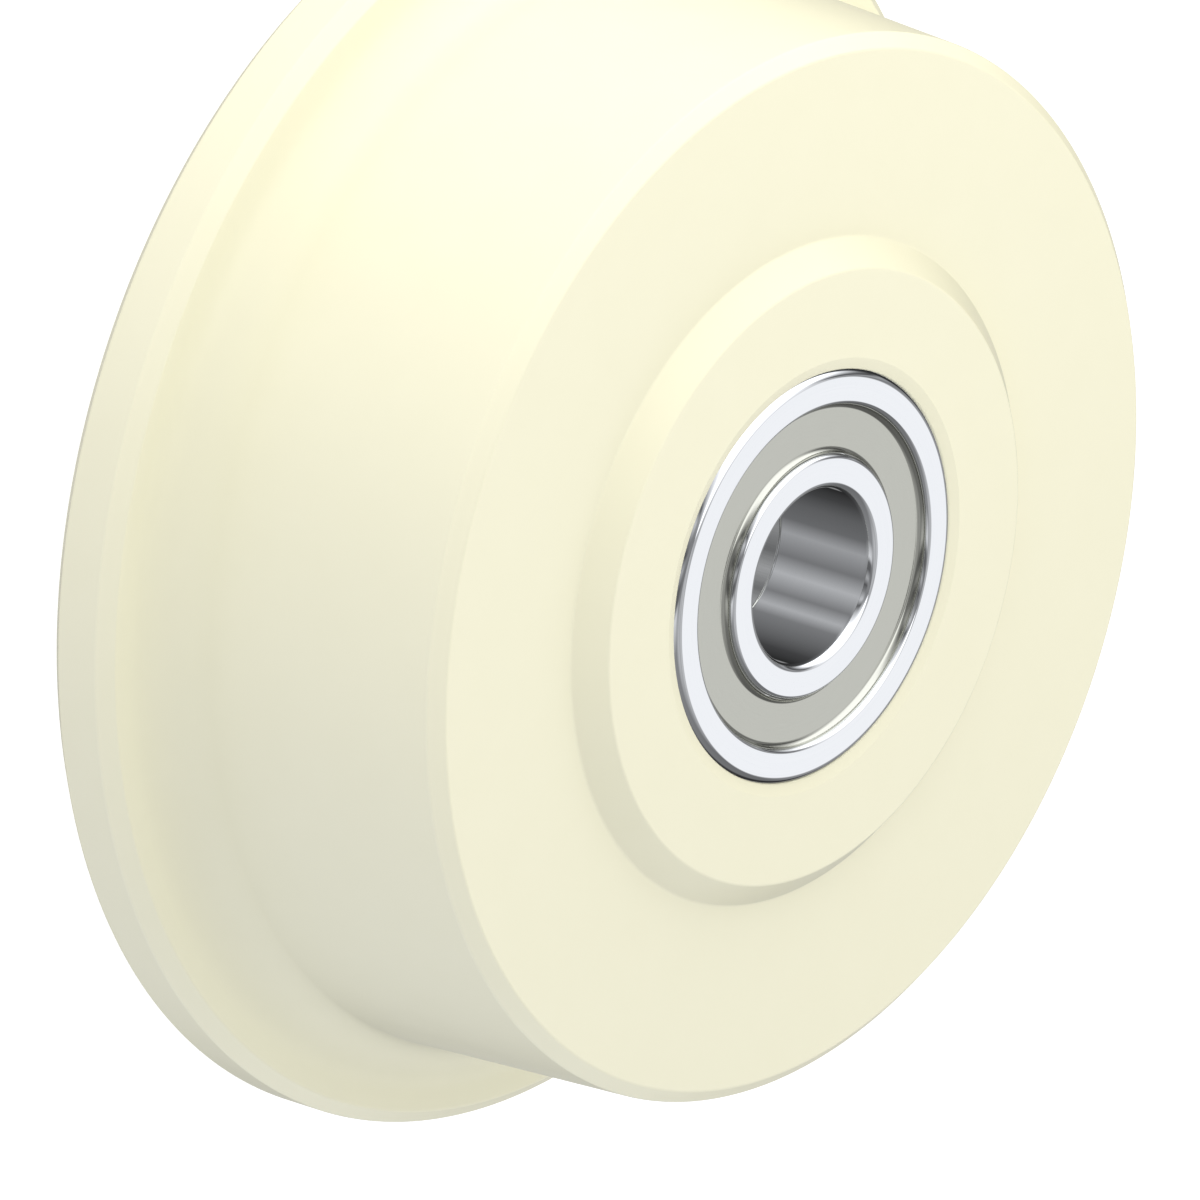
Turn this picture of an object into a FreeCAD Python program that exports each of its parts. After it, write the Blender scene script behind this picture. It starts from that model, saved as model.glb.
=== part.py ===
"""Flanged track wheel: a cast nylon wheel that turns on two shielded ball bearings.

The wheel stands on its rear hub face, with the axle bore along +Z and the origin at the bore's rear end.
"""
import FreeCAD, Part
import math
import os

import Sketcher

# Driving dimensions in millimetres, apart from the counts and ratios
SIZES = {
    # Nylon wheel
    "hub_length": 52.0,
    "boss_height": 3.0,
    "boss_flare": 3.0,
    "boss_land": 10.1,
    "tread_diameter": 125.0,
    "tread_taper": 0.05,
    "tread_chamfer": 1.5,
    "flange_height": 10.0,
    "flange_thickness": 8.5,
    "flange_chamfer": 1.6,
    "root_radius": 6.5,
    "mouth_width": 1.4,
    "mouth_depth": 0.4,
    "seat_shoulder": 3.5,
    # Ball bearing, both rings
    "bearing_bore": 20.0,
    "bearing_outer": 47.0,
    "bearing_width": 14.0,
    "ring_corner": 1.0,
    "rim_ratio": 0.289,
    "rim_radius": 0.55,
    "inner_step": 0.6,
    "outer_ledge": 0.5,
    # Balls and raceways
    "ball_ratio": 0.588,
    "ball_count": 8,
    "race_ratio": 0.52,
    "race_clearance": 0.03,
    # Shields
    "shield_recess": 1.15,
    "shield_thickness": 0.4,
    "shield_lip": 0.62,
    "shield_lip_radius": 0.75,
    "shield_lip_edge": 0.03,
    "shield_gap": 0.1,
    "shield_end_gap": 0.3,
    # Riveted cage
    "cage_thickness": 0.5,
    "cage_pocket_clearance": 0.1,
    "cage_ratio": 0.447,
    "rivet_shank": 0.9,
    "rivet_head": 1.8,
    "rivet_head_height": 0.4,
    "rivet_clearance": 0.02,
    # Spacer sleeve
    "spacer_clearance": 0.7,
    "spacer_wall": 2.5,
    "spacer_chamfer": 0.3,
}

# Places worked out from the driving dimensions, as expressions on the sheet
BORE_R = "sizes.bearing_bore / 2"
SEAT_R = "sizes.bearing_outer / 2"
PITCH_R = "(sizes.bearing_bore + sizes.bearing_outer) / 4"
SECTION = "(sizes.bearing_outer - sizes.bearing_bore) / 2"
BALL_R = f"(sizes.ball_ratio * {SECTION} / 2)"
MID_WIDTH = "sizes.bearing_width / 2"
WIDTH = "sizes.bearing_width"

INNER_WALL_R = f"({BORE_R} + sizes.rim_ratio * {SECTION})"
INNER_LAND_R = f"({INNER_WALL_R} + sizes.inner_step)"
OUTER_WALL_R = f"({SEAT_R} - sizes.rim_ratio * {SECTION})"
OUTER_LAND_R = f"({OUTER_WALL_R} - sizes.outer_ledge)"
RACE_R = f"(2 * sizes.race_ratio * {BALL_R})"
INNER_RACE_CENTRE_R = f"({PITCH_R} - {BALL_R} - sizes.race_clearance + {RACE_R})"
OUTER_RACE_CENTRE_R = f"({PITCH_R} + {BALL_R} + sizes.race_clearance - {RACE_R})"

SHIELD_BACK = "(sizes.shield_recess + sizes.shield_thickness)"
STEP_DEPTH = f"({SHIELD_BACK} + sizes.shield_end_gap)"
SHIELD_TOP = "(sizes.shield_thickness + sizes.shield_lip)"

POCKET_R = f"({BALL_R} + sizes.cage_pocket_clearance)"
CROWN_R = f"({POCKET_R} + sizes.cage_thickness)"
CAGE_INNER_R = f"({PITCH_R} - sizes.cage_ratio * {BALL_R})"
CAGE_OUTER_R = f"({PITCH_R} + sizes.cage_ratio * {BALL_R})"
BALL_STEP = "360 / sizes.ball_count"
HALF_STEP = "180 / sizes.ball_count"

BOSS_TOP_R = f"({SEAT_R} + sizes.mouth_width + sizes.boss_land)"
BOSS_BASE_R = f"({BOSS_TOP_R} + sizes.boss_flare)"
TREAD_R = "sizes.tread_diameter / 2"
FLANGE_R = f"({TREAD_R} + sizes.flange_height)"
FLANGE_FRONT = "(sizes.boss_height + sizes.flange_thickness)"
WEB_FRONT = "(sizes.hub_length - sizes.boss_height)"
TREAD_FRONT_R = f"({TREAD_R} - sizes.tread_taper * ({WEB_FRONT} - {FLANGE_FRONT}))"
SHOULDER_R = f"({SEAT_R} - sizes.seat_shoulder)"
FRONT_SEAT = f"(sizes.hub_length - {WIDTH})"

# How close a found edge lies to the place asked for
EDGE_MATCH = 1e-4

doc = FreeCAD.newDocument("flanged_wheel")
sheet = doc.addObject("Spreadsheet::Sheet", "sizes")
sub_parts = []


def fill_sheet():
    """Write each driving dimension into the sheet under its own name."""
    for row, (name, value) in enumerate(SIZES.items(), start=1):
        sheet.set(f"A{row}", name)
        sheet.set(f"B{row}", str(value))
        sheet.setAlias(f"B{row}", name)
    doc.recompute()


def value_of(expression):
    """Number that an expression on the sheet stands for."""
    return float(sheet.evalExpression(expression))


def new_body(label):
    """Empty body that becomes the sub-part of that name."""
    body = doc.addObject("PartDesign::Body", label)
    body.Label = label
    sub_parts.append(body)
    return body


def origin_feature(body, role):
    """Plane or axis of a body's own origin."""
    return next(f for f in body.Origin.OriginFeatures if f.Role == role)


def new_sketch(body, name, plane):
    """Empty sketch on one of the body's origin planes."""
    sketch = body.newObject("Sketcher::SketchObject", name)
    sketch.AttachmentSupport = [(origin_feature(body, plane), "")]
    sketch.MapMode = "FlatFace"
    return sketch


def bind(sketch, kind, geometry, point, expression):
    """Hold a point of the sketch at a distance from its origin that the sheet gives."""
    place = Sketcher.Constraint(kind, -1, 1, geometry, point, value_of(expression))
    index = sketch.addConstraint(place)
    sketch.setExpression(f"Constraints[{index}]", expression)


def bind_radius(sketch, circle, expression):
    """Hold a circle's radius at what the sheet gives."""
    index = sketch.addConstraint(Sketcher.Constraint("Radius", circle, value_of(expression)))
    sketch.setExpression(f"Constraints[{index}]", expression)


def draw_outline(sketch, corners):
    """Closed outline through corners given as pairs of expressions, or None for a place on an axis."""
    places = [[0.0 if e is None else value_of(e) for e in corner] for corner in corners]
    points = [FreeCAD.Vector(x, y, 0) for x, y in places]
    count = len(points)
    first = sketch.GeometryCount
    for number, point in enumerate(points):
        sketch.addGeometry(Part.LineSegment(point, points[(number + 1) % count]))
    for number, (across, up) in enumerate(corners):
        line = first + number
        following = first + (number + 1) % count
        sketch.addConstraint(Sketcher.Constraint("Coincident", line, 2, following, 1))
        if across is None:
            sketch.addConstraint(Sketcher.Constraint("PointOnObject", line, 1, -2))
        else:
            bind(sketch, "DistanceX", line, 1, across)
        if up is None:
            sketch.addConstraint(Sketcher.Constraint("PointOnObject", line, 1, -1))
        else:
            bind(sketch, "DistanceY", line, 1, up)


def draw_circle(sketch, across, up, radius):
    """Circle whose centre and radius are expressions, with None for a centre on an axis."""
    centre = FreeCAD.Vector(value_of(across or "0"), value_of(up or "0"), 0)
    circle = sketch.addGeometry(Part.Circle(centre, FreeCAD.Vector(0, 0, 1), value_of(radius)))
    for kind, axis, expression in (("DistanceX", -2, across), ("DistanceY", -1, up)):
        if expression is None:
            sketch.addConstraint(Sketcher.Constraint("PointOnObject", circle, 3, axis))
        else:
            bind(sketch, kind, circle, 3, expression)
    bind_radius(sketch, circle, radius)


def draw_dish(sketch, inner, outer, floor, rim, radius):
    """Section of a dish: a flat floor that curves up on both sides to the edges of its open rim."""
    left, right, low, high, bend = (value_of(e) for e in (inner, outer, floor, rim, radius))
    overhang = bend - (high - low)
    run = math.sqrt(bend ** 2 - overhang ** 2)
    lean = math.asin(overhang / bend)
    bottom = 1.5 * math.pi
    bends = ((left + run, math.pi + lean, bottom), (right - run, bottom, math.tau - lean))
    arcs = []
    for middle, start, end in bends:
        circle = Part.Circle(FreeCAD.Vector(middle, low + bend, 0), FreeCAD.Vector(0, 0, 1), bend)
        arcs.append(Part.ArcOfCircle(circle, start, end))
    near, far = (sketch.addGeometry(arc) for arc in arcs)
    flat = sketch.addGeometry(Part.LineSegment(arcs[0].EndPoint, arcs[1].StartPoint))
    across = sketch.addGeometry(Part.LineSegment(arcs[1].EndPoint, arcs[0].StartPoint))
    sketch.addConstraint(Sketcher.Constraint("Tangent", near, 2, flat, 1))
    sketch.addConstraint(Sketcher.Constraint("Tangent", flat, 2, far, 1))
    sketch.addConstraint(Sketcher.Constraint("Coincident", far, 2, across, 1))
    sketch.addConstraint(Sketcher.Constraint("Coincident", across, 2, near, 1))
    bind_radius(sketch, near, radius)
    bind_radius(sketch, far, radius)
    bind(sketch, "DistanceX", near, 1, inner)
    bind(sketch, "DistanceX", far, 2, outer)
    for line, height in ((flat, floor), (across, rim)):
        for point in (1, 2):
            bind(sketch, "DistanceY", line, point, height)


def turned(body, name, corners):
    """Solid of revolution about Z from a half section in the XZ plane."""
    sketch = new_sketch(body, f"{name}_section", "XZ_Plane")
    draw_outline(sketch, corners)
    solid = body.newObject("PartDesign::Revolution", name)
    solid.Profile = sketch
    solid.ReferenceAxis = (sketch, ["V_Axis"])
    solid.Angle = 360.0
    doc.recompute()
    return solid


def check_removed(body, feature, before):
    """Stop if a cut took nothing away."""
    doc.recompute()
    if feature.Shape.Volume >= before:
        raise RuntimeError(f"{feature.Name} in {body.Label} cuts nothing")


def groove(body, name, sketch):
    """Cut a sketch in the XZ plane out of the body, right round Z."""
    before = body.Shape.Volume
    cut = body.newObject("PartDesign::Groove", name)
    cut.Profile = sketch
    cut.ReferenceAxis = (sketch, ["V_Axis"])
    cut.Angle = 360.0
    check_removed(body, cut, before)
    return cut


def ring_edges(feature, places):
    """Names of a feature's round edges at the given pairs of radius and height."""
    wanted = [(value_of(radius), value_of(height)) for radius, height in places]
    names = []
    for number, edge in enumerate(feature.Shape.Edges, start=1):
        if not isinstance(edge.Curve, Part.Circle):
            continue
        here = (edge.Curve.Radius, edge.Curve.Center.z)
        if any(abs(here[0] - r) < EDGE_MATCH and abs(here[1] - h) < EDGE_MATCH for r, h in wanted):
            names.append(f"Edge{number}")
    if len(names) != len(wanted):
        raise RuntimeError(f"{feature.Name}: {len(names)} edges found of {len(wanted)}")
    return names


def dress(body, kind, name, base, places, size_property, expression):
    """Fillet or chamfer on round edges, with its size bound to the sheet."""
    feature = body.newObject(kind, name)
    feature.Base = (base, ring_edges(base, places))
    setattr(feature, size_property, value_of(expression))
    feature.setExpression(size_property, expression)
    doc.recompute()
    return feature


def fillet(body, name, base, places, radius):
    """Round the edges at those places."""
    return dress(body, "PartDesign::Fillet", name, base, places, "Radius", radius)


def chamfer(body, name, base, places, size):
    """Bevel the edges at those places at 45 degrees."""
    return dress(body, "PartDesign::Chamfer", name, base, places, "Size", size)


def polar_pattern(body, name, feature):
    """Repeat a feature round Z, once for each ball."""
    pattern = body.newObject("PartDesign::PolarPattern", name)
    pattern.Originals = [feature]
    pattern.Axis = (origin_feature(body, "Z_Axis"), [""])
    pattern.Angle = 360.0
    pattern.Occurrences = int(value_of("sizes.ball_count"))
    pattern.setExpression("Occurrences", "sizes.ball_count")
    body.Tip = pattern
    doc.recompute()
    return pattern


def sphere_on_pitch(body, kind, name, radius):
    """Sphere on the ball circle's +X side, added to the body or cut from it."""
    sphere = body.newObject(kind, name)
    sphere.AttachmentSupport = [(origin_feature(body, "XY_Plane"), "")]
    sphere.MapMode = "FlatFace"
    sphere.setExpression("AttachmentOffset.Base.x", PITCH_R)
    sphere.setExpression("Radius", radius)
    doc.recompute()
    return sphere


def stand_at(part, height, upside_down=False):
    """Place a sub-part on the wheel's axis at a height, turned over where it faces the rear."""
    turn = FreeCAD.Rotation(FreeCAD.Vector(1, 0, 0), 180 if upside_down else 0)
    part.Placement = FreeCAD.Placement(FreeCAD.Vector(0, 0, value_of(height)), turn)
    part.setExpression("Placement.Base.z", height)


def make_wheel_body():
    """Nylon wheel in one piece: tread, flange, web, hub bosses and both bearing seats."""
    body = new_body("wheel_body")
    rear_half = [
        (SEAT_R, "sizes.mouth_depth"),
        (f"{SEAT_R} + sizes.mouth_width", None),
        (BOSS_TOP_R, None),
        (BOSS_BASE_R, "sizes.boss_height"),
        (FLANGE_R, "sizes.boss_height"),
        (FLANGE_R, FLANGE_FRONT),
        (TREAD_R, FLANGE_FRONT),
    ]
    front_half = [
        (TREAD_FRONT_R, WEB_FRONT),
        (BOSS_BASE_R, WEB_FRONT),
        (BOSS_TOP_R, "sizes.hub_length"),
        (f"{SEAT_R} + sizes.mouth_width", "sizes.hub_length"),
        (SEAT_R, "sizes.hub_length - sizes.mouth_depth"),
        (SEAT_R, FRONT_SEAT),
        (SHOULDER_R, FRONT_SEAT),
        (SHOULDER_R, WIDTH),
        (SEAT_R, WIDTH),
    ]
    casting = turned(body, "casting", rear_half + front_half)
    root_limit = "min(sizes.root_radius; sizes.flange_height - sizes.flange_chamfer)"
    root = fillet(body, "flange_root", casting, [(TREAD_R, FLANGE_FRONT)], root_limit)
    rim = [(FLANGE_R, "sizes.boss_height"), (FLANGE_R, FLANGE_FRONT)]
    flange = chamfer(body, "flange_edges", root, rim, "sizes.flange_chamfer")
    chamfer(body, "tread_edge", flange, [(TREAD_FRONT_R, WEB_FRONT)], "sizes.tread_chamfer")


def make_spacer_sleeve():
    """Steel sleeve that holds the two inner rings apart."""
    body = new_body("spacer_sleeve")
    inner = f"({BORE_R} + sizes.spacer_clearance)"
    outer = f"({inner} + sizes.spacer_wall)"
    length = f"(sizes.hub_length - 2 * {WIDTH})"
    tube = turned(body, "tube", [(inner, None), (outer, None), (outer, length), (inner, length)])
    chamfer(body, "ends", tube, [(outer, "0"), (outer, length)], "sizes.spacer_chamfer")
    stand_at(body, WIDTH)


def make_inner_ring(end, seat):
    """Bearing ring that the axle clamps, with its raceway and a notch beside each shield."""
    body = new_body(f"{end}_inner_ring")
    section = [
        (BORE_R, None),
        (INNER_WALL_R, None),
        (INNER_WALL_R, STEP_DEPTH),
        (INNER_LAND_R, STEP_DEPTH),
        (INNER_LAND_R, f"{WIDTH} - {STEP_DEPTH}"),
        (INNER_WALL_R, f"{WIDTH} - {STEP_DEPTH}"),
        (INNER_WALL_R, WIDTH),
        (BORE_R, WIDTH),
    ]
    turned(body, "ring", section)
    race = new_sketch(body, "race_section", "XZ_Plane")
    draw_circle(race, INNER_RACE_CENTRE_R, MID_WIDTH, RACE_R)
    ring = groove(body, "raceway", race)
    bore_ends = [(BORE_R, "0"), (BORE_R, WIDTH)]
    corners = fillet(body, "bore_corners", ring, bore_ends, "sizes.ring_corner")
    wall_ends = [(INNER_WALL_R, "0"), (INNER_WALL_R, WIDTH)]
    fillet(body, "rim_corners", corners, wall_ends, "sizes.rim_radius")
    stand_at(body, seat)


def make_outer_ring(end, seat):
    """Bearing ring pressed into the wheel, with its raceway and a ledge for each shield."""
    body = new_body(f"{end}_outer_ring")
    section = [
        (OUTER_WALL_R, None),
        (SEAT_R, None),
        (SEAT_R, WIDTH),
        (OUTER_WALL_R, WIDTH),
        (OUTER_WALL_R, f"{WIDTH} - {SHIELD_BACK}"),
        (OUTER_LAND_R, f"{WIDTH} - {SHIELD_BACK}"),
        (OUTER_LAND_R, SHIELD_BACK),
        (OUTER_WALL_R, SHIELD_BACK),
    ]
    turned(body, "ring", section)
    race = new_sketch(body, "race_section", "XZ_Plane")
    draw_circle(race, OUTER_RACE_CENTRE_R, MID_WIDTH, RACE_R)
    ring = groove(body, "raceway", race)
    seat_ends = [(SEAT_R, "0"), (SEAT_R, WIDTH)]
    corners = fillet(body, "seat_corners", ring, seat_ends, "sizes.ring_corner")
    wall_ends = [(OUTER_WALL_R, "0"), (OUTER_WALL_R, WIDTH)]
    fillet(body, "rim_corners", corners, wall_ends, "sizes.rim_radius")
    stand_at(body, seat)


def make_shield(label, height, upside_down):
    """Steel shield on the outer ring's ledge, dished so that its rims curve up to the rings' round edges."""
    body = new_body(label)
    inner = f"({INNER_WALL_R} + sizes.shield_gap)"
    corners = [(inner, None), (OUTER_WALL_R, None), (OUTER_WALL_R, SHIELD_TOP), (inner, SHIELD_TOP)]
    turned(body, "blank", corners)
    dish = new_sketch(body, "dish_section", "XZ_Plane")
    inner_lip = f"({inner} + sizes.shield_lip_edge)"
    outer_lip = f"({OUTER_WALL_R} - sizes.shield_lip_edge)"
    draw_dish(dish, inner_lip, outer_lip, "sizes.shield_thickness", SHIELD_TOP, "sizes.shield_lip_radius")
    groove(body, "dish", dish)
    stand_at(body, height, upside_down)


def make_cage_half(label, middle, upside_down):
    """Pressed steel ribbon of the cage, crowned over each ball and drilled for the rivets."""
    body = new_body(label)
    ribbon_section = new_sketch(body, "ribbon_section", "XY_Plane")
    draw_circle(ribbon_section, None, None, CAGE_INNER_R)
    draw_circle(ribbon_section, None, None, CAGE_OUTER_R)
    ribbon = body.newObject("PartDesign::Pad", "ribbon")
    ribbon.Profile = ribbon_section
    ribbon.setExpression("Length", "sizes.cage_thickness")
    doc.recompute()

    crown = sphere_on_pitch(body, "PartDesign::AdditiveSphere", "crown", CROWN_R)
    polar_pattern(body, "crowns", crown)
    trim = new_sketch(body, "trim_section", "XZ_Plane")
    reach = f"({PITCH_R} + 2 * {CROWN_R})"
    outside = [
        (None, f"-2 * {CROWN_R}"),
        (reach, f"-2 * {CROWN_R}"),
        (reach, f"2 * {CROWN_R}"),
        (CAGE_OUTER_R, f"2 * {CROWN_R}"),
        (CAGE_OUTER_R, None),
        (CAGE_INNER_R, None),
        (CAGE_INNER_R, f"2 * {CROWN_R}"),
        (None, f"2 * {CROWN_R}"),
    ]
    draw_outline(trim, outside)
    groove(body, "trim", trim)

    before = body.Shape.Volume
    pocket = sphere_on_pitch(body, "PartDesign::SubtractiveSphere", "pocket", POCKET_R)
    check_removed(body, polar_pattern(body, "pockets", pocket), before)

    before = body.Shape.Volume
    hole_section = new_sketch(body, "hole_section", "XY_Plane")
    hole_radius = "(sizes.rivet_shank / 2 + sizes.rivet_clearance)"
    draw_circle(hole_section, f"{PITCH_R} * cos({HALF_STEP})", f"{PITCH_R} * sin({HALF_STEP})", hole_radius)
    hole = body.newObject("PartDesign::Pocket", "rivet_hole")
    hole.Profile = hole_section
    hole.Type = "ThroughAll"
    hole.Midplane = True
    check_removed(body, polar_pattern(body, "rivet_holes", hole), before)
    stand_at(body, middle, upside_down)


def make_cage_rivets(end, middle):
    """Set of rivets, each with a flat bevelled head on both cage halves."""
    body = new_body(f"{end}_cage_rivets")
    section = new_sketch(body, "rivet_section", "XZ_Plane")
    shank = f"({PITCH_R} + sizes.rivet_shank / 2)"
    head = f"({PITCH_R} + sizes.rivet_head / 2)"
    grip = "sizes.cage_thickness"
    top = f"({grip} + sizes.rivet_head_height)"
    half_outline = [
        (PITCH_R, f"-{top}"),
        (shank, f"-{top}"),
        (head, f"-{grip}"),
        (shank, f"-{grip}"),
        (shank, grip),
        (head, grip),
        (shank, top),
        (PITCH_R, top),
    ]
    draw_outline(section, half_outline)
    centre_line = len(half_outline) - 1
    rivet = body.newObject("PartDesign::Revolution", "rivet")
    rivet.Profile = section
    rivet.ReferenceAxis = (section, [f"Edge{centre_line + 1}"])
    rivet.Angle = 360.0
    doc.recompute()
    polar_pattern(body, "rivets", rivet)
    stand_at(body, middle)
    body.Placement.Rotation = FreeCAD.Rotation(FreeCAD.Vector(0, 0, 1), value_of(HALF_STEP))
    body.setExpression("Placement.Rotation.Angle", HALF_STEP)


def make_balls(end, middle):
    """Bearing balls, evenly spaced on the pitch circle."""
    for number in range(int(value_of("sizes.ball_count"))):
        label = f"{end}_ball_{number + 1}"
        ball = doc.addObject("Part::Sphere", label)
        ball.Label = label
        turn = f"{number} * {BALL_STEP}"
        ball.setExpression("Radius", BALL_R)
        ball.setExpression("Placement.Base.x", f"{PITCH_R} * cos({turn})")
        ball.setExpression("Placement.Base.y", f"{PITCH_R} * sin({turn})")
        ball.setExpression("Placement.Base.z", middle)
        sub_parts.append(ball)


def make_bearing(end, seat):
    """One shielded ball bearing with its lower face at the seat's height."""
    middle = f"({seat} + {MID_WIDTH})"
    make_outer_ring(end, seat)
    make_inner_ring(end, seat)
    make_shield(f"{end}_upper_shield", f"{seat} + {WIDTH} - {SHIELD_BACK}", False)
    make_shield(f"{end}_lower_shield", f"{seat} + {SHIELD_BACK}", True)
    make_cage_half(f"{end}_upper_cage", middle, False)
    make_cage_half(f"{end}_lower_cage", middle, True)
    make_cage_rivets(end, middle)
    make_balls(end, middle)


def check_model():
    """Stop if any object failed or any sub-part is not a sound solid."""
    for item in doc.Objects:
        if "Invalid" in item.State or "Error" in item.State:
            raise RuntimeError(f"{item.Label} failed to build")
    for part in sub_parts:
        if part.Shape.isNull() or not part.Shape.isValid() or not part.Shape.Solids:
            raise RuntimeError(f"{part.Label} is not a sound solid")


def write_parts():
    """Write each sub-part to its own file."""
    os.makedirs("parts", exist_ok=True)
    for part in sub_parts:
        part.Shape.exportStep(f"parts/{part.Label}.step")


fill_sheet()
make_wheel_body()
make_spacer_sleeve()
make_bearing("front", FRONT_SEAT)
make_bearing("rear", "0")
doc.recompute()
check_model()
write_parts()
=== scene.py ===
"""Looks of the flanged track wheel: cast nylon, two shielded ball bearings and a white floor."""
import logging
import math
from dataclasses import dataclass
from enum import Enum
from typing import Any, NamedTuple, Sequence

import bpy
from mathutils import Matrix, Vector


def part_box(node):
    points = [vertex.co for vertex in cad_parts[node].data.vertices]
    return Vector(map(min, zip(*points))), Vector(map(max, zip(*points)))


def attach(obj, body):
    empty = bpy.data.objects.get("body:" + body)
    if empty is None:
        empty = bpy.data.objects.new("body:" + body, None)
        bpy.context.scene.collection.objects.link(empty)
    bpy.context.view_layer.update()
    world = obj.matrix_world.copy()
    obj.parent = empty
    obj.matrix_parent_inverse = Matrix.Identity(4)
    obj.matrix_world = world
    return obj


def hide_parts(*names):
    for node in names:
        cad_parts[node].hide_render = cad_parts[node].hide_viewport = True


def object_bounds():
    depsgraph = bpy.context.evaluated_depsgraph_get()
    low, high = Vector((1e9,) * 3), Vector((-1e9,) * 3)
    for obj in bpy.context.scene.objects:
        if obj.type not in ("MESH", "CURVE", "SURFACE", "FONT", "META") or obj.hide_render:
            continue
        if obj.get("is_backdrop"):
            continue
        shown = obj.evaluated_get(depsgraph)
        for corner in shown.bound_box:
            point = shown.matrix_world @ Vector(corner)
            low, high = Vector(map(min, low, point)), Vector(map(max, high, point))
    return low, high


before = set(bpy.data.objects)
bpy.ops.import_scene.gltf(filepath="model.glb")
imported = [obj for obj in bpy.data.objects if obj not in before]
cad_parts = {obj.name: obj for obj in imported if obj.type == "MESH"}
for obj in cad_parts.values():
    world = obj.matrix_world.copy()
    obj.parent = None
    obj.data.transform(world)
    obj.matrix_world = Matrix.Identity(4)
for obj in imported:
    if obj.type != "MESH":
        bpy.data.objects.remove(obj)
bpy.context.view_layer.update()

MM = 0.001
WELD_MM = 0.002
BROKEN_EDGE_DEGREES = 20.0
BROKEN_EDGE_SEGMENTS = 3
# Just under the slope of the nylon's mouth round each bearing, whose edge stays crisp
SMOOTH_DEGREES = 15.5
LOG = logging.getLogger("flanged_wheel")


class Grain(Enum):
    """How steel was finished: the length of its marks round the axle and across them, in mm."""

    GROUND = (9.0, 0.06)
    PRESSED = (2.5, 0.15)
    POLISHED = (6.0, 0.40)
    DRAWN = (0.30, 6.0)


class Corner(NamedTuple):
    """Corner of a half section, in mm: distance from the axle, height and rounding radius."""

    reach: float
    height: float
    rounding: float = 0.0

    def place(self) -> Vector:
        """Point of the corner in the XZ plane, in metres."""
        return Vector((self.reach, 0, self.height)) * MM


def linear(code: str) -> tuple[float, float, float, float]:
    """Turn a colour code into the linear values that shaders take.

    Args:
        code: Six hexadecimal digits in sRGB.

    Returns:
        Red, green, blue and an alpha of one.
    """
    values = [int(code[i:i + 2], 16) / 255 for i in (0, 2, 4)]
    red, green, blue = (
        v / 12.92 if v <= 0.04045 else ((v + 0.055) / 1.055) ** 2.4 for v in values)
    return red, green, blue, 1.0


def add_node(
        tree: bpy.types.NodeTree, kind: str, sockets: dict[str | int, Any], **options: Any) -> Any:
    """Add a node, set its options, and fill its sockets.

    Args:
        tree: Node tree that takes the node.
        kind: Blender's name of the node type, without its common beginning.
        sockets: Input name or number to a constant, or to an output socket that feeds it.
        options: Properties of the node itself.

    Returns:
        The new node's outputs.
    """
    node = tree.nodes.new("ShaderNode" + kind)
    for name, value in options.items():
        setattr(node, name, value)
    for key, value in sockets.items():
        if isinstance(value, bpy.types.NodeSocket):
            tree.links.new(value, node.inputs[key])
        else:
            node.inputs[key].default_value = value
    return node.outputs


def empty_material(name: str) -> tuple[bpy.types.Material, bpy.types.NodeTree]:
    """Make a material with an empty node tree.

    Args:
        name: The real material's name.

    Returns:
        The material and its tree.
    """
    material = bpy.data.materials.new(name)
    material.use_nodes = True
    material.node_tree.nodes.clear()
    return material, material.node_tree


@dataclass(frozen=True)
class NylonFinish:
    """Cast nylon, turned all over to size: an even cream with a soft sheen and faint rings."""

    name: str
    colour: str
    shade: str
    mottle_mm: float
    ring_mm: float
    roughness: float
    roughness_spread: float = 0.012
    mottle_detail: float = 4.0
    relief: float = 0.05
    relief_mm: float = 0.02
    refraction: float = 1.40

    def material(self) -> bpy.types.Material:
        """Build the nylon's shader.

        Returns:
            The material.
        """
        material, tree = empty_material(self.name)
        where = add_node(tree, "TexCoord", {})["Object"]
        mottle = add_node(tree, "TexNoise", {
            "Vector": where, "Scale": 1 / (self.mottle_mm * MM), "Detail": self.mottle_detail})
        tint = add_node(tree, "Mix", {
            0: mottle[0], 6: linear(self.shade), 7: linear(self.colour)}, data_type="RGBA")
        # The tool's rings are drawn coarser than a real finishing cut, so that they show
        flat = add_node(tree, "VectorMath", {0: where, 1: (1, 1, 0)}, operation="MULTIPLY")
        reach = add_node(tree, "VectorMath", {0: flat[0]}, operation="LENGTH")
        height = add_node(tree, "SeparateXYZ", {0: where})["Z"]
        path = add_node(tree, "Math", {0: reach["Value"], 1: height}, operation="ADD")
        ring_turn = math.tau / (self.ring_mm * MM)
        turns = add_node(tree, "Math", {0: path[0], 1: ring_turn}, operation="MULTIPLY")
        rings = add_node(tree, "Math", {0: turns[0]}, operation="SINE")
        cut = add_node(tree, "Math", {0: rings[0], 1: mottle[0]}, operation="MULTIPLY")
        relief = add_node(tree, "Bump", {
            "Strength": self.relief, "Distance": self.relief_mm * MM, "Height": cut[0]})
        # Stays under 0.274, where denoising starts to take gloss for colour and leaves specks
        low, high = self.roughness - self.roughness_spread, self.roughness + self.roughness_spread
        sheen = add_node(tree, "MapRange", {0: mottle[0], 3: low, 4: high})
        skin = add_node(tree, "BsdfPrincipled", {
            "Base Color": tint[2], "Roughness": sheen[0], "IOR": self.refraction,
            "Normal": relief[0]})
        add_node(tree, "OutputMaterial", {"Surface": skin[0]})
        return material


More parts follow.
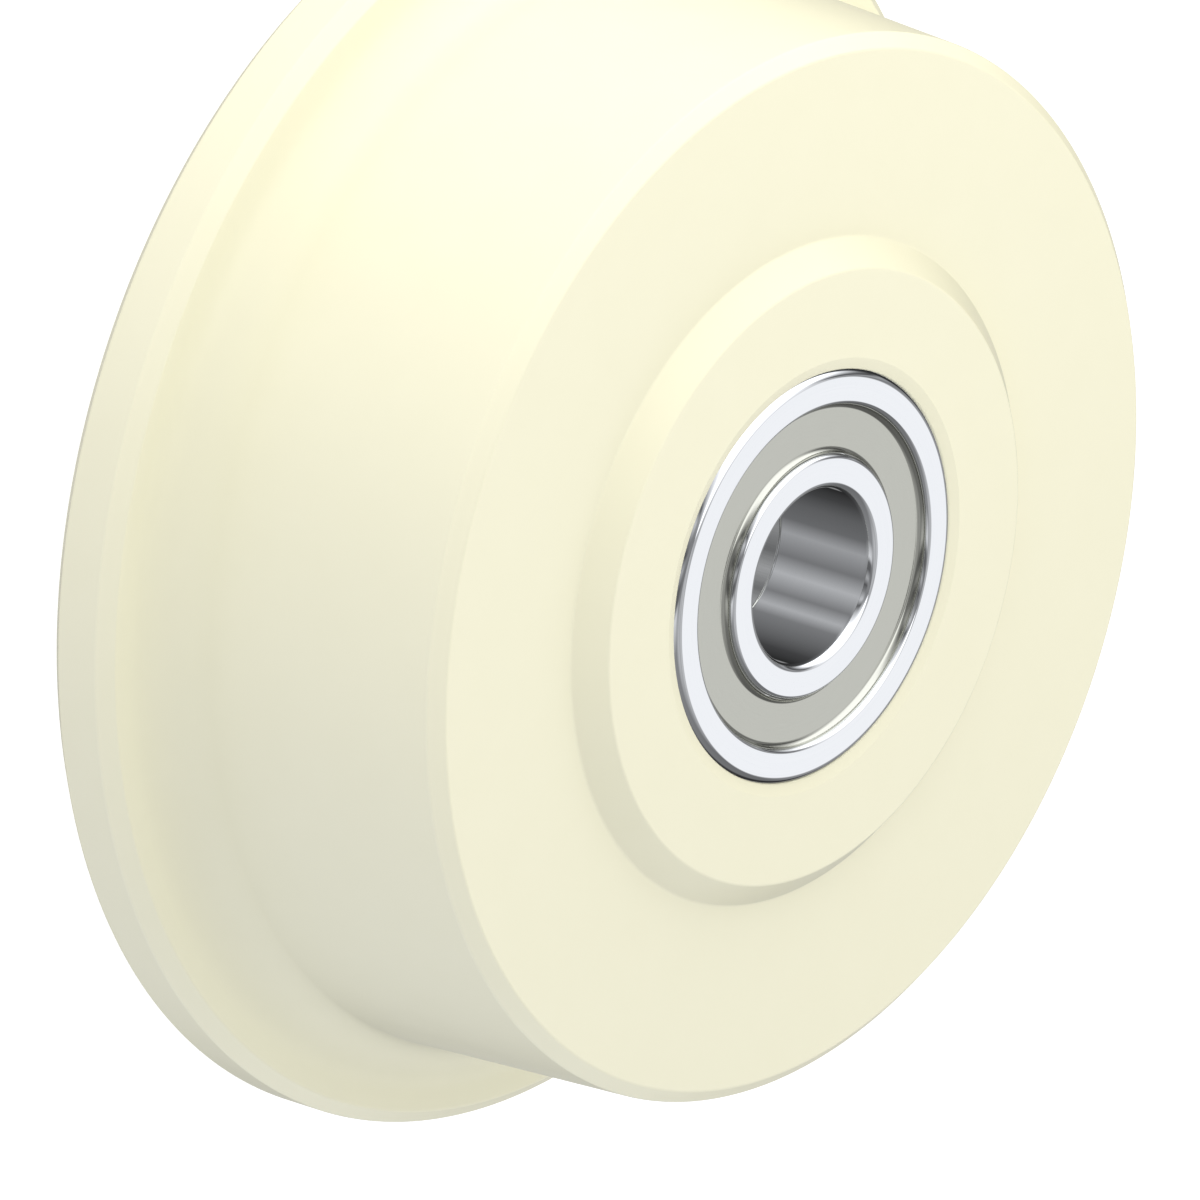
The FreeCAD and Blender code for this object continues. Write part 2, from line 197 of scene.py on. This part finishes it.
@dataclass(frozen=True)
class SteelFinish:
    """Bare steel, whose fine marks run round the axle and stretch its highlights that way."""

    name: str
    colour: str
    shade: str
    grain: Grain
    roughness: float
    roughness_share: float = 0.15
    marks_detail: float = 3.0
    relief: float = 0.02
    relief_mm: float = 0.005
    middle_radius_mm: float = 17.0

    def material(self) -> bpy.types.Material:
        """Build the steel's shader.

        Returns:
            The material.
        """
        material, tree = empty_material(self.name)
        where = add_node(tree, "TexCoord", {})["Object"]
        axes = add_node(tree, "SeparateXYZ", {0: where})
        turn = add_node(tree, "Math", {0: axes["Y"], 1: axes["X"]}, operation="ARCTAN2")
        flat = add_node(tree, "VectorMath", {0: where, 1: (1, 1, 0)}, operation="MULTIPLY")
        reach = add_node(tree, "VectorMath", {0: flat[0]}, operation="LENGTH")
        ring = add_node(tree, "CombineXYZ", {0: turn[0], 1: reach["Value"], 2: axes["Z"]})
        along_mm, across_mm = self.grain.value
        across = 1 / (across_mm * MM)
        stretch = (self.middle_radius_mm / along_mm, across, across)
        marks_at = add_node(tree, "VectorMath", {0: ring[0], 1: stretch}, operation="MULTIPLY")
        marks = add_node(tree, "TexNoise", {
            "Vector": marks_at[0], "Scale": 1.0, "Detail": self.marks_detail})
        tint = add_node(tree, "Mix", {
            0: marks[0], 6: linear(self.shade), 7: linear(self.colour)}, data_type="RGBA")
        spread = self.roughness_share * self.roughness
        gloss = add_node(tree, "MapRange", {
            0: marks[0], 3: self.roughness - spread, 4: self.roughness + spread})
        relief = add_node(tree, "Bump", {
            "Strength": self.relief, "Distance": self.relief_mm * MM, "Height": marks[0]})
        skin = add_node(tree, "BsdfPrincipled", {
            "Base Color": tint[2], "Metallic": 1.0, "Roughness": gloss[0], "Normal": relief[0]})
        add_node(tree, "OutputMaterial", {"Surface": skin[0]})
        return material


def paint(
        piece: bpy.types.Object, material: bpy.types.Material,
        mirrored: bool = False) -> None:
    """Give a piece its one material.

    Args:
        piece: Object to dress.
        material: Its finish.
        mirrored: Whether the gloss of other pieces shows it, and not the studio alone.
    """
    piece.data.materials.clear()
    piece.data.materials.append(material)
    piece.visible_glossy = mirrored
    LOG.info("dressed %s in %s", piece.name, material.name)


def rounded(corners: Sequence[Corner], step_degrees: float = 7.5) -> list[Vector]:
    """Work out the points of a closed half section, with an arc at each rounded corner.

    Args:
        corners: The section's corners, in order.
        step_degrees: Turn between two points of an arc.

    Returns:
        Points in the XZ plane, in metres.
    """
    points = []
    for number, corner in enumerate(corners):
        here = corner.place()
        if not corner.rounding:
            points.append(here)
            continue
        back = (corners[number - 1].place() - here).normalized()
        onward = (corners[(number + 1) % len(corners)].place() - here).normalized()
        half = back.angle(onward) / 2
        radius = corner.rounding * MM
        centre = here + (back + onward).normalized() * radius / math.sin(half)
        start, end = (here + side * radius / math.tan(half) - centre for side in (back, onward))
        steps = math.ceil(math.degrees(math.pi - 2 * half) / step_degrees)
        points += [centre + radius * start.slerp(end, step / steps) for step in range(steps + 1)]
    return points


def turn_piece(
        name: str, corners: Sequence[Corner], edge_mm: float = 0.0,
        steps: int = 288) -> bpy.types.Object:
    """Draw a half section from one vertex, spin it round the axle and smooth it.

    Args:
        name: Name of the piece.
        corners: Its half section.
        edge_mm: Radius that softens its sharp edges, or none.
        steps: Faces round the axle.

    Returns:
        The turned piece.
    """
    points = rounded(corners)
    bpy.ops.object.select_all(action="DESELECT")
    bpy.ops.mesh.primitive_plane_add(size=MM, location=(0, 0, 0))
    piece = bpy.context.active_object
    piece.name = name
    bpy.ops.object.mode_set(mode="EDIT")
    bpy.ops.mesh.select_mode(type="VERT")
    bpy.ops.mesh.select_all(action="SELECT")
    bpy.ops.mesh.merge(type="CENTER")
    bpy.ops.transform.translate(value=points[0])
    for here, there in zip(points, points[1:] + points[:1]):
        bpy.ops.mesh.extrude_region_move(TRANSFORM_OT_translate={"value": there - here})
    bpy.ops.mesh.select_all(action="SELECT")
    bpy.ops.mesh.remove_doubles(threshold=WELD_MM * MM)
    bpy.ops.mesh.select_all(action="SELECT")
    bpy.ops.mesh.spin(steps=steps, angle=math.tau, center=(0, 0, 0), axis=(0, 0, 1))
    bpy.ops.mesh.select_all(action="SELECT")
    bpy.ops.mesh.remove_doubles(threshold=WELD_MM * MM)
    bpy.ops.mesh.normals_make_consistent(inside=False)
    bpy.ops.object.mode_set(mode="OBJECT")
    if edge_mm:
        bpy.ops.object.modifier_add(type="BEVEL")
        soften = piece.modifiers[-1]
        soften.width, soften.segments = edge_mm * MM, BROKEN_EDGE_SEGMENTS
        soften.limit_method, soften.angle_limit = "ANGLE", math.radians(BROKEN_EDGE_DEGREES)
        bpy.ops.object.modifier_apply(modifier=soften.name)
    bpy.ops.object.shade_smooth_by_angle(angle=math.radians(SMOOTH_DEGREES))
    bpy.ops.object.modifier_add(type="WEIGHTED_NORMAL")
    piece.modifiers[-1].keep_sharp = True
    bpy.ops.object.modifier_apply(modifier=piece.modifiers[-1].name)
    LOG.info("turned %s with %d faces", piece.name, len(piece.data.polygons))
    return piece


@dataclass
class WheelCasting:
    """Nylon wheel in one piece: tread, flange, web, bosses and both bearing seats, in mm."""

    finish: NylonFinish
    mouth_width: float = 1.4
    mouth_depth: float = 0.4
    boss_land: float = 10.1
    boss_flare: float = 3.0
    boss_height: float = 3.0
    flange_height: float = 10.0
    flange_thickness: float = 8.5
    flange_chamfer: float = 1.6
    root_radius: float = 6.5
    tread_taper: float = 0.05
    tread_chamfer: float = 1.5
    seat_shoulder: float = 3.5
    edge_radius: float = 0.2

    def section(self) -> list[Corner]:
        """Work out the corners of the half section.

        Returns:
            Corners from the rear seat's mouth outwards and round.
        """
        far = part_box("wheel_body")[1] / MM
        ring_low, ring_high = (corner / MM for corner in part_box("front_outer_ring"))
        hub, flange = far.z, far.x
        seat, width = ring_high.x, ring_high.z - ring_low.z
        boss_top = seat + self.mouth_width + self.boss_land
        boss_base = boss_top + self.boss_flare
        rear, front = self.boss_height, hub - self.boss_height
        face = rear + self.flange_thickness
        tread = flange - self.flange_height
        tread_end = tread - self.tread_taper * (front - face)
        side, bevel = self.tread_chamfer, self.flange_chamfer
        shoulder = seat - self.seat_shoulder
        return [
            Corner(seat, self.mouth_depth),
            Corner(seat + self.mouth_width, 0),
            Corner(boss_top, 0),
            Corner(boss_base, rear),
            Corner(flange - bevel, rear),
            Corner(flange, rear + bevel),
            Corner(flange, face - bevel),
            Corner(flange - bevel, face),
            Corner(tread, face, self.root_radius),
            Corner(tread_end + self.tread_taper * side, front - side),
            Corner(tread_end - side, front),
            Corner(boss_base, front),
            Corner(boss_top, hub),
            Corner(seat + self.mouth_width, hub),
            Corner(seat, hub - self.mouth_depth),
            Corner(seat, hub - width),
            Corner(shoulder, hub - width),
            Corner(shoulder, width),
            Corner(seat, width),
        ]

    def dress(self) -> None:
        """Turn the casting in place of its CAD node and put the nylon on it."""
        casting = turn_piece("nylon_casting", self.section(), self.edge_radius)
        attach(casting, "wheel")
        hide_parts("wheel_body")
        paint(casting, self.finish.material())


@dataclass
class Bearing:
    """One shielded ball bearing, in mm, with heights from its lower face."""

    end: str
    bore: float = 20.0
    ring_corner: float = 1.0
    rim_ratio: float = 0.289
    rim_radius: float = 0.55
    inner_step: float = 0.6
    outer_ledge: float = 0.5
    ball_ratio: float = 0.588
    race_ratio: float = 0.52
    race_clearance: float = 0.03
    shield_recess: float = 1.15
    shield_thickness: float = 0.4
    shield_lip: float = 0.62
    shield_lip_radius: float = 0.75
    shield_lip_edge: float = 0.03
    shield_gap: float = 0.1
    shield_end_gap: float = 0.3
    balls: int = 8

    def __post_init__(self) -> None:
        """Take the seat from the CAD ring and work out the walls and raceways."""
        low, high = (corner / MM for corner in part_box(f"{self.end}_outer_ring"))
        self.foot, self.width, self.seat = low.z, high.z - low.z, high.x
        bore = self.bore / 2
        rim = self.rim_ratio * (self.seat - bore)
        self.inner_wall, self.outer_wall = bore + rim, self.seat - rim
        self.ball = self.ball_ratio * (self.seat - bore) / 2
        self.race = 2 * self.race_ratio * self.ball
        self.pitch = (self.seat + bore) / 2
        self.shield_back = self.shield_recess + self.shield_thickness

    def raceway(self, side: int, land: float, pieces: int = 20) -> list[Corner]:
        """Work out a raceway's arc, from its upper edge to its lower one.

        Args:
            side: One for the outer ring and minus one for the inner ring.
            land: Radius of the land that the raceway is cut into.
            pieces: How many straight pieces stand for the arc.

        Returns:
            Corners along the arc.
        """
        centre = self.pitch + side * (self.ball + self.race_clearance - self.race)
        opening = math.acos(side * (land - centre) / self.race)
        turns = [opening * (1 - 2 * number / pieces) for number in range(pieces + 1)]
        reach, middle = side * self.race, self.width / 2
        return [
            Corner(centre + reach * math.cos(turn), middle + self.race * math.sin(turn))
            for turn in turns
        ]

    def outer_ring(self) -> list[Corner]:
        """Work out the ring in the wheel, with its raceway and a ledge for each shield.

        Returns:
            Corners of its half section.
        """
        land = self.outer_wall - self.outer_ledge
        back = self.shield_back
        return [
            Corner(self.outer_wall, 0, self.rim_radius),
            Corner(self.seat, 0, self.ring_corner),
            Corner(self.seat, self.width, self.ring_corner),
            Corner(self.outer_wall, self.width, self.rim_radius),
            Corner(self.outer_wall, self.width - back),
            Corner(land, self.width - back),
            *self.raceway(1, land),
            Corner(land, back),
            Corner(self.outer_wall, back),
        ]

    def inner_ring(self) -> list[Corner]:
        """Work out the ring on the axle, with its raceway and a notch beside each shield.

        Returns:
            Corners of its half section.
        """
        land = self.inner_wall + self.inner_step
        step = self.shield_back + self.shield_end_gap
        return [
            Corner(self.inner_wall, 0, self.rim_radius),
            Corner(self.bore / 2, 0, self.ring_corner),
            Corner(self.bore / 2, self.width, self.ring_corner),
            Corner(self.inner_wall, self.width, self.rim_radius),
            Corner(self.inner_wall, self.width - step),
            Corner(land, self.width - step),
            *self.raceway(-1, land),
            Corner(land, step),
            Corner(self.inner_wall, step),
        ]

    def shield(self) -> list[Corner]:
        """Work out the upper shield, dished between the lips along its two rims.

        Returns:
            Corners of its half section.
        """
        back = self.width - self.shield_back
        floor = back + self.shield_thickness
        top = floor + self.shield_lip
        inner = self.inner_wall + self.shield_gap
        inner_lip = inner + self.shield_lip_edge
        outer_lip = self.outer_wall - self.shield_lip_edge
        bend = self.shield_lip_radius
        turn = math.acos(1 - self.shield_lip / bend)
        foot = bend * (math.sin(turn) - math.tan(turn / 2))
        return [
            Corner(inner, back),
            Corner(self.outer_wall, back),
            Corner(self.outer_wall, top),
            Corner(outer_lip, top),
            Corner(outer_lip - foot, floor, bend),
            Corner(inner_lip + foot, floor, bend),
            Corner(inner_lip, top),
            Corner(inner, top),
        ]

    def turn_node(
            self, name: str, body: str, corners: Sequence[Corner], finish: bpy.types.Material,
            mirrored: bool = False) -> None:
        """Turn a piece of the bearing in place of its CAD node.

        Args:
            name: The piece's name within the bearing.
            body: Body that carries it.
            corners: Its half section, with heights from the bearing's lower face.
            finish: Its material.
            mirrored: Whether the walls beside it show it in their gloss.
        """
        raised = [corner._replace(height=corner.height + self.foot) for corner in corners]
        piece = turn_piece(f"{self.end}_turned_{name}", raised)
        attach(piece, body)
        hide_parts(f"{self.end}_{name}")
        paint(piece, finish, mirrored)

    def dress(
            self, ground: bpy.types.Material, pressed: bpy.types.Material,
            polished: bpy.types.Material, riveted: bpy.types.Material) -> None:
        """Turn the rings and shields, and put a finish on every piece.

        Args:
            ground: Finish of both rings.
            pressed: Finish of the shields.
            polished: Finish of the balls.
            riveted: Finish of the cage and its rivets.
        """
        self.turn_node("outer_ring", "wheel", self.outer_ring(), ground)
        self.turn_node("inner_ring", "axle_set", self.inner_ring(), ground)
        upper = self.shield()
        lower = [corner._replace(height=self.width - corner.height) for corner in upper]
        # The ring walls mirror the shield that closes the bearing's open side
        front = self.end == "front"
        self.turn_node("upper_shield", "wheel", upper, pressed, mirrored=front)
        self.turn_node("lower_shield", "wheel", lower, pressed, mirrored=not front)
        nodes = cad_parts
        for cage in ("upper_cage", "lower_cage", "cage_rivets"):
            paint(nodes[f"{self.end}_{cage}"], riveted)
        for number in range(1, self.balls + 1):
            paint(nodes[f"{self.end}_ball_{number}"], polished)


@dataclass
class SpacerSleeve:
    """Steel sleeve that holds the inner rings apart, in mm."""

    finish: SteelFinish
    wall: float = 2.5
    chamfer: float = 0.3

    def section(self) -> list[Corner]:
        """Work out the sleeve, bevelled on its outer ends.

        Returns:
            Corners of its half section.
        """
        low, high = (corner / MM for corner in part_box("spacer_sleeve"))
        inner, outer, bevel = high.x - self.wall, high.x, self.chamfer
        return [
            Corner(inner, low.z),
            Corner(outer - bevel, low.z),
            Corner(outer, low.z + bevel),
            Corner(outer, high.z - bevel),
            Corner(outer - bevel, high.z),
            Corner(inner, high.z),
        ]

    def dress(self) -> None:
        """Turn the sleeve in place of its CAD node and put its steel on it."""
        sleeve = turn_piece("turned_spacer_sleeve", self.section())
        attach(sleeve, "axle_set")
        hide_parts("spacer_sleeve")
        paint(sleeve, self.finish.material())


@dataclass(frozen=True)
class Surround:
    """Grey level of the studio by heading, in degrees from +X, as polished steel mirrors it.

    Each line is the pair of heights, from -1 below to 1 above, between which two rings blend.
    """

    ceiling: tuple[tuple[float, float], ...] = (
        (-180, 2.00), (-150, 1.90), (-135, 1.40), (-120, 0.80), (-105, 0.36), (-90, 0.24),
        (-75, 0.26), (-60, 0.20), (-45, 0.24), (-30, 0.45), (0, 0.55), (30, 0.42), (60, 0.62),
        (80, 0.45), (95, 0.45), (110, 1.00), (120, 1.35), (135, 1.75), (150, 1.90), (180, 2.00),
    )
    walls: tuple[tuple[float, float], ...] = (
        (-180, 2.00), (-140, 2.00), (-126, 1.00), (-115, 0.55), (-106, 0.10), (-98, 0.62),
        (-88, 0.24), (-80, 0.10), (-72, 0.44), (-62, 0.12), (-54, 0.14), (-47, 0.74),
        (-38, 0.56), (-28, 0.28), (0, 0.24), (40, 0.19), (62, 0.17), (74, 0.32), (106, 0.34),
        (118, 0.22), (124, 0.40), (129, 0.06), (135, 0.22), (143, 0.80), (155, 2.00), (180, 2.00),
    )
    ground: tuple[tuple[float, float], ...] = (
        (-180, 0.15), (-155, 0.22), (-140, 0.48), (-122, 0.22), (-97, 0.50), (-74, 0.20),
        (-45, 0.38), (-25, 0.16), (0, 0.13), (30, 0.06), (70, 0.02), (80, 0.30), (100, 0.30),
        (110, 0.02), (150, 0.06), (180, 0.15),
    )
    ground_line: tuple[float, float] = (-0.12, 0.06)
    ceiling_line: tuple[float, float] = (0.60, 0.85)
    window_towards: tuple[float, float, float] = (0.0, 0.8034, 0.5955)
    window_degrees: float = 17.0
    window_blur: float = 4.0
    window_level: float = 1.03

    def level(self, tree: bpy.types.NodeTree) -> bpy.types.NodeSocket:
        """Build the studio's grey level for a direction.

        Args:
            tree: The world's node tree.

        Returns:
            Socket with the level.
        """
        towards = add_node(tree, "TexCoord", {})["Generated"]
        axes = add_node(tree, "SeparateXYZ", {0: towards})
        turn = add_node(tree, "Math", {0: axes["Y"], 1: axes["X"]}, operation="ARCTAN2")
        share = add_node(tree, "MapRange", {0: turn[0], 1: -math.pi, 2: math.pi})
        rings = []
        for headings in (self.ground, self.walls, self.ceiling):
            top = max(level for _, level in headings)
            around = add_node(tree, "FloatCurve", {"Value": share[0]})
            mapping = around[0].node.mapping
            places = [((heading + 180) / 360, level / top) for heading, level in headings]
            curve = mapping.curves[0]
            curve.points[0].location, curve.points[1].location = places[0], places[-1]
            for place in places[1:-1]:
                curve.points.new(*place)
            for point in curve.points:
                point.handle_type = "VECTOR"
            mapping.update()
            rings.append(add_node(tree, "Math", {0: around[0], 1: top}, operation="MULTIPLY")[0])
        room = rings[0]
        for ring, (start, end) in zip(rings[1:], (self.ground_line, self.ceiling_line)):
            above = add_node(tree, "MapRange", {0: axes["Z"], 1: start, 2: end})
            room = add_node(tree, "Mix", {0: above[0], 2: room, 3: ring})[0]
        facing = add_node(tree, "VectorMath", {
            0: towards, 1: self.window_towards}, operation="DOT_PRODUCT")
        reach = (self.window_degrees + self.window_blur, self.window_degrees - self.window_blur)
        outside, inside = (math.cos(math.radians(angle)) for angle in reach)
        window = add_node(tree, "MapRange", {0: facing["Value"], 1: outside, 2: inside})
        return add_node(tree, "Mix", {0: window[0], 2: room, 3: self.window_level})[0]


@dataclass(frozen=True)
class Lamp:
    """Square soft lamp: the way to it from the wheel, distance and side in metres, level, tint."""

    name: str
    towards: tuple[float, float, float]
    distance: float
    level: float
    tint: tuple[float, float, float]
    side: float = 0.6

    def build(self) -> None:
        """Hang the lamp, facing the wheel and unseen by the camera and by gloss."""
        towards = Vector(self.towards).normalized()
        lamp = bpy.data.lights.new(self.name, "AREA")
        lamp.shape, lamp.size, lamp.color = "SQUARE", self.side, self.tint
        # The power that gives the lamp's surface its level
        lamp.energy = self.level * math.pi * self.side ** 2
        holder = bpy.data.objects.new(self.name, lamp)
        bpy.context.scene.collection.objects.link(holder)
        low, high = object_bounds()
        holder.location = (low + high) / 2 + towards * self.distance
        holder.rotation_mode = "QUATERNION"
        holder.rotation_quaternion = (-towards).to_track_quat("-Z", "Y")
        holder.visible_camera = holder.visible_glossy = False


@dataclass
class Studio:
    """White floor, even light, soft lamps and the camera."""

    surround: Surround
    lamps: tuple[Lamp, ...]
    sky: str = "B4B4B8"
    bounce: str = "E6E6EC"
    horizon: float = 0.25
    floor_radius: float = 20.0
    floor_drop_mm: float = 0.02
    paper: float = 0.35
    paper_glow: float = 0.84
    elevation: float = 36.79
    roll: float = 107.43
    frame_width_mm: float = 132.0
    lens: float = 1600.0
    sensor: float = 36.0
    clip: tuple[float, float] = (0.1, 60.0)
    aim_mm: tuple[float, float] = (-23.61, -2.48)

    def build(self) -> None:
        """Make the floor, the world, the lamps and the camera."""
        self.make_floor()
        self.make_world()
        for lamp in self.lamps:
            lamp.build()
        self.make_camera()

    def make_floor(self) -> None:
        """Lay a wide floor that keeps the wheel's shadow and can be looked through from below."""
        bpy.ops.object.select_all(action="DESELECT")
        bpy.ops.mesh.primitive_circle_add(
            vertices=64, radius=self.floor_radius, fill_type="NGON",
            location=(0, 0, -self.floor_drop_mm * MM))
        floor = bpy.context.active_object
        floor.name = "floor"
        floor.visible_diffuse = floor.visible_glossy = floor.visible_shadow = False
        # Paper with a glow of its own looks plain white, and a faint shadow still shows on it
        material, tree = empty_material("white paper floor")
        paper = add_node(tree, "BsdfDiffuse", {"Color": (self.paper, self.paper, self.paper, 1)})
        glow = add_node(tree, "Emission", {"Strength": self.paper_glow})
        lit = add_node(tree, "AddShader", {0: paper[0], 1: glow[0]})
        clear = add_node(tree, "BsdfTransparent", {})
        behind = add_node(tree, "NewGeometry", {})["Backfacing"]
        surface = add_node(tree, "MixShader", {0: behind, 1: lit[0], 2: clear[0]})
        add_node(tree, "OutputMaterial", {"Surface": surface[0]})
        floor.data.materials.append(material)
        floor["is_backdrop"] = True

    def make_world(self) -> None:
        """Light everything evenly, show white behind the wheel and let gloss mirror the studio."""
        world = bpy.data.worlds.new("studio")
        bpy.context.scene.world = world
        world.use_nodes = True
        tree = world.node_tree
        tree.nodes.clear()
        path = add_node(tree, "LightPath", {})
        towards = add_node(tree, "TexCoord", {})["Generated"]
        axes = add_node(tree, "SeparateXYZ", {0: towards})
        upper = add_node(tree, "MapRange", {0: axes["Z"], 1: -self.horizon, 2: self.horizon})
        even = add_node(tree, "Mix", {
            0: upper[0], 6: linear(self.bounce), 7: linear(self.sky)}, data_type="RGBA")
        mirrored = add_node(tree, "Mix", {
            0: path["Is Glossy Ray"], 6: even[2], 7: self.surround.level(tree)}, data_type="RGBA")
        seen = add_node(tree, "Mix", {
            0: path["Is Camera Ray"], 6: mirrored[2], 7: (1, 1, 1, 1)}, data_type="RGBA")
        sky = add_node(tree, "Background", {"Color": seen[2], "Strength": 1.0})
        add_node(tree, "OutputWorld", {"Surface": sky[0]})

    def make_camera(self) -> None:
        """Set up the camera at the picture's own angle, far off behind a long lens."""
        tilt, roll = math.radians(self.elevation), math.radians(self.roll)
        back = Vector((0, -math.cos(tilt), math.sin(tilt)))
        level, over = Vector((1, 0, 0)), Vector((0, math.sin(tilt), math.cos(tilt)))
        right = math.cos(roll) * level + math.sin(roll) * over
        up = math.cos(roll) * over - math.sin(roll) * level
        hub_face = Vector((0, 0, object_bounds()[1].z))
        target = hub_face + (self.aim_mm[0] * right + self.aim_mm[1] * up) * MM
        data = bpy.data.cameras.new("camera")
        data.lens, data.sensor_width = self.lens, self.sensor
        distance = self.frame_width_mm * MM * self.lens / self.sensor
        data.clip_start, data.clip_end = self.clip
        camera = bpy.data.objects.new("camera", data)
        bpy.context.scene.collection.objects.link(camera)
        turn = Matrix((right, up, back)).transposed().to_4x4()
        camera.matrix_world = Matrix.Translation(target + distance * back) @ turn
        bpy.context.scene.camera = camera


def main() -> None:
    """Dress the wheel and set the studio."""
    logging.basicConfig(level=logging.INFO, format="%(message)s")
    # Cream nylon is almost even in colour, with a soft sheen and the faint rings of its last cut
    nylon = NylonFinish(
        "cast nylon", "F2EFD3", "F0EDD0", mottle_mm=6.0, ring_mm=0.35, roughness=0.26)
    WheelCasting(nylon).dress()
    # Ground rings mirror the studio almost sharply, and grinding leaves hair lines round them
    ground = SteelFinish(
        "ground bearing steel", "EFF1F5", "E8EBF0", Grain.GROUND, roughness=0.04).material()
    # Pressed sheet has a greyer, satin skin that blurs what it mirrors
    pressed = SteelFinish(
        "pressed shield steel", "BFC0B9", "B9BAB3", Grain.PRESSED, roughness=0.13).material()
    # Balls are lapped to a mirror
    polished = SteelFinish(
        "polished ball steel", "EDEEF0", "E4E6EA", Grain.POLISHED, roughness=0.05).material()
    # Cage sheet is duller than the shields
    riveted = SteelFinish(
        "pressed cage steel", "C4C2BC", "B8B6B0", Grain.PRESSED, roughness=0.32).material()
    for end in ("front", "rear"):
        Bearing(end).dress(ground, pressed, polished, riveted)
    # A drawn tube has marks along its length
    drawn = SteelFinish("drawn sleeve steel", "DADCDE", "C8CACC", Grain.DRAWN, roughness=0.10)
    SpacerSleeve(drawn).dress()
    # A near softbox over the picture's upper edge, a cool fill from below and a light behind
    softbox = Lamp(
        "softbox", (-1.0, -0.38, 0.5), distance=0.17, level=1.05, tint=(1.0, 0.985, 0.935))
    fill = Lamp(
        "side fill", (0.95, -0.22, 0.22), distance=0.30, level=0.43, tint=(0.74, 0.80, 1.0))
    back = Lamp(
        "back light", (0.49, 0.85, 0.18), distance=0.50, level=1.20, tint=(1.0, 0.99, 1.0))
    Studio(Surround(), (softbox, fill, back)).build()
    bpy.context.scene.view_settings.view_transform = "Standard"


if __name__ == "__main__":
    main()
